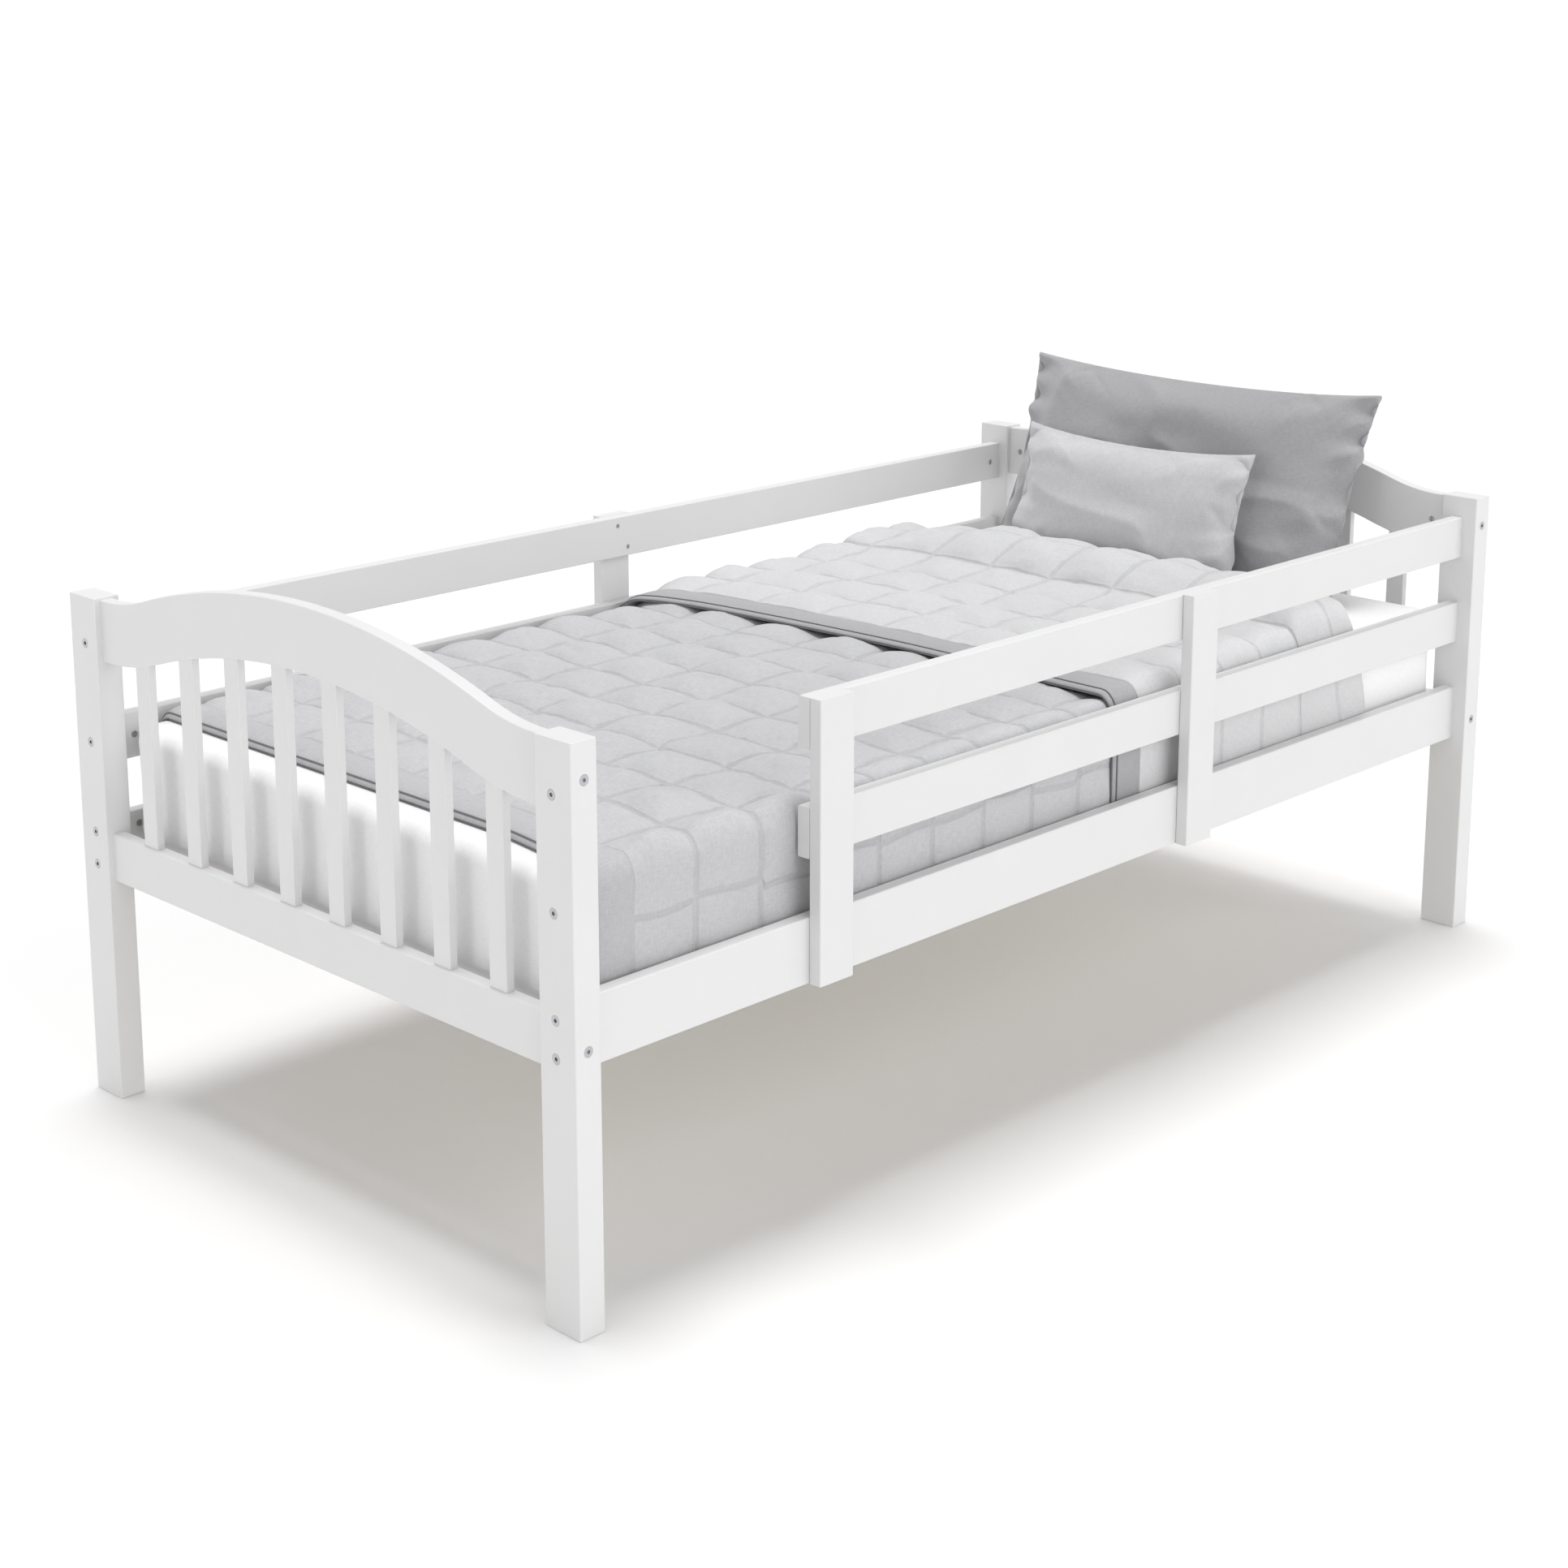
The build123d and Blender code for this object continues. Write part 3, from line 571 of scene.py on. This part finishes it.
def puckers(place, across_seam, step, reach, seed):
    """Little gathers that stand along a seam: noise stretched square to it, fading out over
    `reach` and held back to nothing on the stitches themselves."""
    held = 6 * MM
    noise = lattice_noise(*place, step, seed) - 0.5
    return noise * np.exp(-across_seam / reach) * smoothstep(0, held, across_seam)


def stitched_puff(length, across, first_row, shift):
    """Height of box quilting, from 0 on the stitches to 1 in the middle of a cell: the product of
    two half sine arches raised to a power under one, so cells are full and seams are tight. Rows
    are staggered a little against each other, and wander by a few millimetres. Gathers beside the
    seams and creases in the cells come back separately, in metres, with the row and column."""
    sway = 2.5 * MM
    wander = sway * np.sin(across * 13.0 + length * 5.0) + 0.6 * sway * np.sin(across * 31.0 + 1.7)
    row = (length - first_row + wander) / CELL_LONG
    number = np.floor(row)
    stagger = 7 * MM * np.sin(number * 2.4) + 5 * MM * np.cos(number * 5.1)
    drift = 3 * MM * np.sin(length * 40.0 + number)
    column = (across - shift + stagger + drift) / CELL_WIDE
    rise = np.abs(np.sin(np.pi * row))
    swell = np.abs(np.sin(np.pi * column))
    size = 1 + 0.10 * np.sin(number * 3.7 + np.floor(column) * 2.3)
    puff = (rise * swell) ** 0.62 * size
    to_row = np.abs(row - np.round(row)) * CELL_LONG
    to_column = np.abs(column - np.round(column)) * CELL_WIDE
    stretch = 0.35
    gathers = puckers((length * stretch + number, across), to_row, 13 * MM, 20 * MM, 31)
    pleats = puckers((length, across * stretch + np.floor(column)), to_column, 14 * MM, 18 * MM, 37)
    folds = (3.4 * MM * creases(length, across, 74 * MM, 41)
             + 1.4 * MM * creases(length, across, 31 * MM, 45))
    wrinkles = 5.5 * MM * gathers + 4.5 * MM * pleats + np.minimum(puff, 1) * folds
    return puff, wrinkles, row, column


def soft_waves(length, across):
    """Slow unevenness of loosely laid cloth: a few long crossing waves, from -1 to 1."""
    return (0.45 * np.sin(length * 7.3 + across * 4.1 + 0.4)
            + 0.3 * np.sin(across * 11.7 - length * 3.3 + 2.0)
            + 0.25 * np.sin(length * 17.0 + across * 9.0 + 1.1))


def laid_middle(length, wide, y, h, fold):
    """Place along the bed and height of the quilt's middle surface, once it is laid less than
    square: the turned part reaches farther toward the foot on the far side, the near foot corner
    is drawn toward the foot, and the roll at the fold slumps near both sides, where it is drawn
    toward the foot on top and toward the head where it hangs."""
    turned = smoothstep(fold, fold + 420 * MM, length)
    x_mm = np.clip(wide, -mattress_hx, mattress_hx) / MM
    slant = (4 - 38 * np.clip((100 - x_mm) / 500, 0, 1) ** 1.5 - 60 * np.exp(-(x_mm + 480) / 45)) * MM
    slant = np.where(wide < -TOP_HALF - SHOULDER_LENGTH, FAR_HEM_STEP, slant)
    corner = (20 * MM * smoothstep(250 * MM, 480 * MM, wide)
              * (1 - smoothstep(60 * MM, 420 * MM, length)))
    at_fold = np.exp(-((length - fold) / (160 * MM)) ** 2)
    hanging = np.clip(np.abs(wide) - TOP_HALF - SHOULDER_LENGTH / 2, 0, None)
    pull = at_fold * (0.30 * hanging - 22 * MM * smoothstep(200 * MM, 470 * MM, np.abs(wide)))
    slump = (0.62 * smoothstep(-200 * MM, -430 * MM, wide)
             + 0.30 * smoothstep(380 * MM, 460 * MM, wide))
    roll = smoothstep(30 * MM, 60 * MM, h) * (h - 28 * MM)
    return y - corner + slant * turned + pull, h - roll * slump


def make_quilt():
    """Closed padded sheet: the middle surface carried along the course, pushed out on each side by
    half the thickness plus the stitched stuffing, and joined round its four edges. Returns it with
    the lines its piping follows and its flat size."""
    stations, y, h, ny, nh, thick, face_share, lining_share, fold = quilt_course()
    across = quilt_across()
    total = stations[-1]
    length = stations[:, None]
    wide = across[None, :]
    middle_y, middle_h = laid_middle(length, wide, y[:, None], h[:, None], fold)
    sides, numbers = [], []
    for sign, share, counted, first, shift in (
            (1, face_share, length, BAND, 36 * MM),
            (-1, lining_share, total - BAND - length, 0, -18 * MM)):
        puff, wrinkles, row, column = stitched_puff(counted, wide, first, shift)
        waves = soft_waves(length, wide) * 1.5 * MM
        push = thick[:, None] / 2 + share[:, None] * (PUFF * puff + wrinkles + waves)
        place_y = middle_y + sign * ny[:, None] * push
        place_h = np.maximum(middle_h + sign * nh[:, None] * push, LEAST_GAP)
        sides.append(drape(place_y, place_h, wide + 0 * length))
        numbers.append((row.ravel(), column.ravel()))
    outer, inner = sides
    rows, cols = outer.shape[:2]
    count = rows * cols
    points = np.concatenate([outer.reshape(-1, 3), inner.reshape(-1, 3)])
    cloth_one = np.stack(np.broadcast_arrays(wide, length), -1).reshape(-1, 2)
    number = np.arange(count).reshape(rows, cols)
    face = grid_quads(rows, cols)
    lining = grid_quads(rows, cols, first=count, flip=True)
    rims = [strip_quads(number[0], number[0] + count)[:, ::-1],
            strip_quads(number[-1], number[-1] + count),
            strip_quads(number[:, 0], number[:, 0] + count),
            strip_quads(number[:, -1], number[:, -1] + count)[:, ::-1]]
    quads = np.concatenate([face, lining] + rims)
    row_of = (quads % count) // cols
    foot_band = stations[row_of.min(1)] < BAND - 1 * MM
    turned_band = stations[row_of.max(1)] > total - BAND + 1 * MM
    slots = np.zeros(len(quads), int)
    slots[len(face):len(face) * 2] = 1
    slots[turned_band] = 2
    slots[foot_band] = 3
    stitches = {name: np.concatenate([numbers[0][i], numbers[1][i]])
                for i, name in enumerate(("row", "column"))}
    obj = new_piece("quilt_cover", points, quads, np.concatenate([cloth_one, cloth_one]),
                    [QUILT_FACE, QUILT_LINING, QUILT_BORDER, QUILT_FOOT_BORDER], slots, stitches)
    weld(obj, 0.01 * MM)
    lines = {
        "quilt_foot_piping_hem": (outer[0] + inner[0]) / 2,
        "quilt_foot_piping_inner": outer[np.argmin(np.abs(stations - PIPE_STEP))],
        "quilt_turned_piping_hem": (outer[-1] + inner[-1]) / 2,
        "quilt_turned_piping_inner": inner[np.argmin(np.abs(stations - total + PIPE_STEP))]}
    return obj, lines, (2 * float(across[-1]), float(total))


quilt, piping_lines, quilt_flat = make_quilt()
piping = [sewn_cord(name, line, PIPE_RADIUS, QUILT_PIPING) for name, line in piping_lines.items()]
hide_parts("quilt")
for piece in [quilt] + piping:
    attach(piece, "quilt")


# ---------------------------------------------------------------- pillows

# Cotton sateen, soft and faintly lustrous, dyed in two greys and cut and sewn into cases.
LARGE_COTTON = woven_cloth("large_pillow_cotton_sateen", "#AAAAAC", "#98989A", 1.2 * MM, 0.35)
SMALL_COTTON = woven_cloth("small_pillow_cotton_sateen", "#CDCDCF", "#B9B9BB", 1.2 * MM, 0.35)


def pillow_case(name, width, height, plump, columns, rows):
    """Two sheets sewn together round their edge and lightly stuffed: each side is a low dome, the
    product of two parabolas raised to a power under one, whose rim is shared. It lies in XY with
    its face along +Z."""
    u, v = np.meshgrid(np.linspace(-1, 1, columns), np.linspace(-1, 1, rows))
    dome = ((1 - u ** 2) * (1 - v ** 2)) ** 0.72
    x, y = u * width / 2, v * height / 2
    front = np.stack([x, y, plump * dome], -1).reshape(-1, 3)
    back = np.stack([x, y, -plump * dome], -1).reshape(-1, 3)
    quads = np.concatenate([grid_quads(rows, columns),
                            grid_quads(rows, columns, first=rows * columns, flip=True)])
    cloth = np.stack([x, y], -1).reshape(-1, 2)
    apart = 3.0       # metres between the two sheets on the cloth, so their weaves differ
    obj = new_piece(name, np.concatenate([front, back]), quads,
                    np.concatenate([cloth, cloth + apart]))
    weld(obj, 0.05 * MM)
    return obj


def point_places(mesh):
    """The places of a mesh's points, as an (n, 3) array."""
    places = np.empty(len(mesh.vertices) * 3, np.float32)
    mesh.vertices.foreach_get("co", places)
    return places.reshape(-1, 3).astype(float)


def blow_up(obj, pressure, frames):
    """Lets cloth under air pressure settle for a few frames, and keeps the settled shape."""
    scene = bpy.context.scene
    modifier = obj.modifiers.new("air", "CLOTH")
    cloth = modifier.settings
    cloth.quality = 6
    cloth.mass = 0.25
    cloth.tension_stiffness = cloth.compression_stiffness = 22
    cloth.shear_stiffness = 6
    cloth.bending_stiffness = 0.35
    cloth.use_pressure = True
    cloth.uniform_pressure_force = pressure
    cloth.effector_weights.gravity = 0
    modifier.collision_settings.use_collision = False
    scene.frame_start, scene.frame_end = 1, frames
    for number in range(1, frames + 1):
        scene.frame_set(number)
    places = point_places(obj.evaluated_get(bpy.context.evaluated_depsgraph_get()).data)
    obj.modifiers.remove(modifier)
    scene.frame_set(1)
    return places


def square_seam(start, settled, width, height, side_pinch, top_pinch):
    """Carries the settled seam back to the case's cut outline, whose sides are drawn in by a
    share of their distance halfway along, and spreads the same moves over the faces: the sum of
    the moves of the two pairs of opposite seams less the blend of the four corners."""
    u, v = start[:, 0] / start[:, 0].max(), start[:, 1] / start[:, 1].max()
    ripple = 0.35     # share of the seam's settled waves that stays
    cut = np.stack([u * width / 2 * (1 - side_pinch * (1 - v ** 2)),
                    v * height / 2 * (1 - top_pinch * (1 - u ** 2) ** 0.8),
                    settled[:, 2] * ripple], -1)
    move = cut - settled
    s, t = (u + 1) / 2, (v + 1) / 2

    def seam_moves(on_seam, place, at):
        order = np.argsort(place[on_seam])
        return np.stack([np.interp(at, place[on_seam][order], move[on_seam][order, i])
                         for i in range(3)], -1)

    rim = 1 - 1e-4
    left, right = seam_moves(u < -rim, v, v), seam_moves(u > rim, v, v)
    low, high = seam_moves(v < -rim, u, u), seam_moves(v > rim, u, u)
    ends = np.array([-1.0, 1.0])
    corners_low, corners_high = seam_moves(v < -rim, u, ends), seam_moves(v > rim, u, ends)
    s, t = s[:, None], t[:, None]
    blend = ((1 - s) * (1 - t) * corners_low[0] + s * (1 - t) * corners_low[1]
             + (1 - s) * t * corners_high[0] + s * t * corners_high[1])
    return settled + (1 - s) * left + s * right + (1 - t) * low + t * high - blend


def stand_up(points, centre, lean):
    """Turns a pillow made lying in XY so that it stands along X, leaning back by `lean` radians."""
    right = np.array([1.0, 0, 0])
    up = np.array([0, math.sin(lean), math.cos(lean)])
    front = np.array([0, -math.cos(lean), math.sin(lean)])
    return centre + points[:, :1] * right + points[:, 1:2] * up + points[:, 2:] * front


def soft_limit(value, limit, softness):
    """Presses values over a limit back to it, easing in over `softness`."""
    over = value - limit + softness
    pressed = limit - softness * np.exp(-np.clip(over, 0, None) / softness)
    return np.where(over > 0, pressed, value)


CASE_PLUMP = 30 * MM          # half thickness of a case before it is blown up
AIR_PRESSURE, AIR_FRAMES = 3.0, 22
AIR_SHARE = 0.5               # share of the simulated movement that is kept
SIDE_PINCH = 0.05             # how far the side seams draw in, as a share of half the width
TOP_PINCH = 19 * MM           # how far the upper and lower seams draw in
SEAM_FOLDS, SOFT_DENTS = 26 * MM, 2.2 * MM    # heights of the wrinkles on a case


def make_pillow(name, node, width, height, lean, front, back, material, foot, shift, seed):
    """A stuffed case, blown up by simulation, wrinkled, scaled to its front and back thickness,
    and stood on its lower seam, leaning back and pressed flat where it meets the mattress and the
    headboard. The wrinkles are folds drawn inward from the side seams, which fade with distance,
    and soft dents all over. `foot` and `shift` place the lower seam along and across the bed."""
    obj = pillow_case(name, width, height, CASE_PLUMP, round(width / (7.6 * MM)),
                      round(height / (6.2 * MM)))
    start = point_places(obj.data)
    settled = blow_up(obj, AIR_PRESSURE, AIR_FRAMES)
    settled = start + AIR_SHARE * (settled - start)
    points = square_seam(start, settled, width, height, SIDE_PINCH, TOP_PINCH / (height / 2))
    u, v = start[:, 0] / start[:, 0].max(), start[:, 1] / start[:, 1].max()
    to_side, to_end = (1 - np.abs(u)) * width / 2, (1 - np.abs(v)) * height / 2
    to_seam = np.minimum(to_side, to_end)
    side = np.sign(start[:, 2]) * smoothstep(0, 12 * MM, to_seam)
    folds = lattice_noise(points[:, 1] + 0.2 * to_side, to_side * 0.22, 27 * MM, seed) - 0.5
    folds *= np.exp(-to_side / (45 * MM))
    dents = creases(points[:, 0], points[:, 1], 110 * MM, seed + 2) * smoothstep(0, 60 * MM, to_seam)
    points[:, 2] += side * (SEAM_FOLDS * folds + SOFT_DENTS * dents)
    points[:, 2] *= (front + back) / np.ptp(points[:, 2])
    middle = (front - back) / 2
    hold = 1 - np.maximum(np.abs(points[:, 0]) / (width / 2), np.abs(points[:, 1]) / (height / 2)) ** 6
    points[:, 2] += middle * hold
    centre = np.array([shift, foot + height / 2 * math.sin(lean),
                       mattress_top + 1 * MM + height / 2 * math.cos(lean)])
    placed = stand_up(points, centre, lean)
    placed[:, 2] = -soft_limit(-placed[:, 2], -(mattress_top + 0.8 * MM), 6 * MM)
    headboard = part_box("headboard_arch_rail")[0][1]
    placed[:, 1] = soft_limit(placed[:, 1], headboard - 1.5 * MM, 5 * MM)
    obj.data.vertices.foreach_set("co", placed.astype(np.float32).ravel())
    obj.data.update()
    obj.data.materials.append(material)
    smooth = obj.modifiers.new("smooth", "SUBSURF")
    smooth.levels = smooth.render_levels = 1
    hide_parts(node)
    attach(obj, node)


make_pillow("large_pillow_case", "large_pillow", width=735 * MM, height=376 * MM,
            lean=math.radians(20.4), front=34 * MM, back=62 * MM, material=LARGE_COTTON,
            foot=m_high[1] - 160 * MM, shift=5 * MM, seed=51)
make_pillow("small_pillow_case", "small_pillow", width=490 * MM, height=257 * MM,
            lean=math.radians(14.2), front=50 * MM, back=18 * MM, material=SMALL_COTTON,
            foot=m_high[1] - 213 * MM, shift=-35 * MM, seed=61)


# ---------------------------------------------------------------- studio

HORIZON_LIGHT, ZENITH_LIGHT = 1.04, 0.26    # strength of the surroundings, level and overhead
LIGHTS = (    # name, strength, softness in degrees, where it comes from
    ("key", 2.05, 28, (-0.12, 0.06, 0.99)),
    ("fill", 1.05, 60, (0.90, 0.10, 0.36)),
    ("front", 0.20, 14, (0.05, -0.99, 0.12)))


def pale_floor():
    """A seamless paper floor so wide that its edge is never seen."""
    mat, tree = blank_material("seamless_paper")
    place = add(tree, "TexCoord")
    fibre = add(tree, "TexNoise", {"Scale": 300.0, "Detail": 2.0}, {"Vector": (place, "Object")})
    tone = add(tree, "Mix", {"data_type": "RGBA", 6: colour("#EDEDED"), 7: colour("#EBEBEB")},
               {0: (fibre, 0)})
    shader = add(tree, "BsdfPrincipled", {"Roughness": 0.95, "Specular IOR Level": 0.1},
                 {"Base Color": (tone, 2)})
    close_material(tree, shader)
    reach, below = 250.0, -0.5 * MM
    points = np.array([(-reach, -reach, below), (reach, -reach, below), (reach, reach, below),
                       (-reach, reach, below)])
    new_piece("floor", points, np.array([[0, 1, 2, 3]]), None, [mat])


def studio_light():
    """White surroundings, brightest near the ground, with a key light from almost straight above,
    a broad fill from the near side and a weak one level with the foot."""
    world = bpy.data.worlds.new("white_studio")
    world.use_nodes = True
    tree = world.node_tree
    place = add(tree, "TexCoord")
    split = add(tree, "SeparateXYZ", links={0: (place, "Generated")})
    strength = add(tree, "MapRange", {"To Min": HORIZON_LIGHT, "To Max": ZENITH_LIGHT},
                   {"Value": (split, 2)})
    tree.links.new(strength.outputs[0], tree.nodes["Background"].inputs["Strength"])
    tree.nodes["Background"].inputs["Color"].default_value = colour("#FFFFFF")
    bpy.context.scene.world = world
    for name, strength, softness, origin in LIGHTS:
        lamp = bpy.data.lights.new(name, "SUN")
        lamp.energy = strength
        lamp.angle = math.radians(softness)
        light = bpy.data.objects.new(name, lamp)
        light.rotation_euler = Vector(origin).to_track_quat("Z", "Y").to_euler()
        bpy.context.scene.collection.objects.link(light)


def studio_camera():
    """Looks down at the bed from beyond the near foot corner. Part of the downward look is a shift
    of the lens, which keeps the posts nearly upright."""
    lens = bpy.data.cameras.new("camera")
    lens.lens, lens.sensor_width = 61.89, 36.0
    lens.shift_y = -0.15
    lens.clip_end = 100
    camera = bpy.data.objects.new("camera", lens)
    camera.location = (2.7628, -2.9312, 1.6153)
    yaw, pitch = -0.7761, 0.2166
    camera.rotation_euler = (math.pi / 2 - pitch, 0, -yaw)
    bpy.context.scene.collection.objects.link(camera)
    bpy.context.scene.camera = camera


pale_floor()
studio_light()
studio_camera()
bpy.context.scene.view_settings.view_transform = "Standard"
bpy.context.scene.view_settings.look = "None"
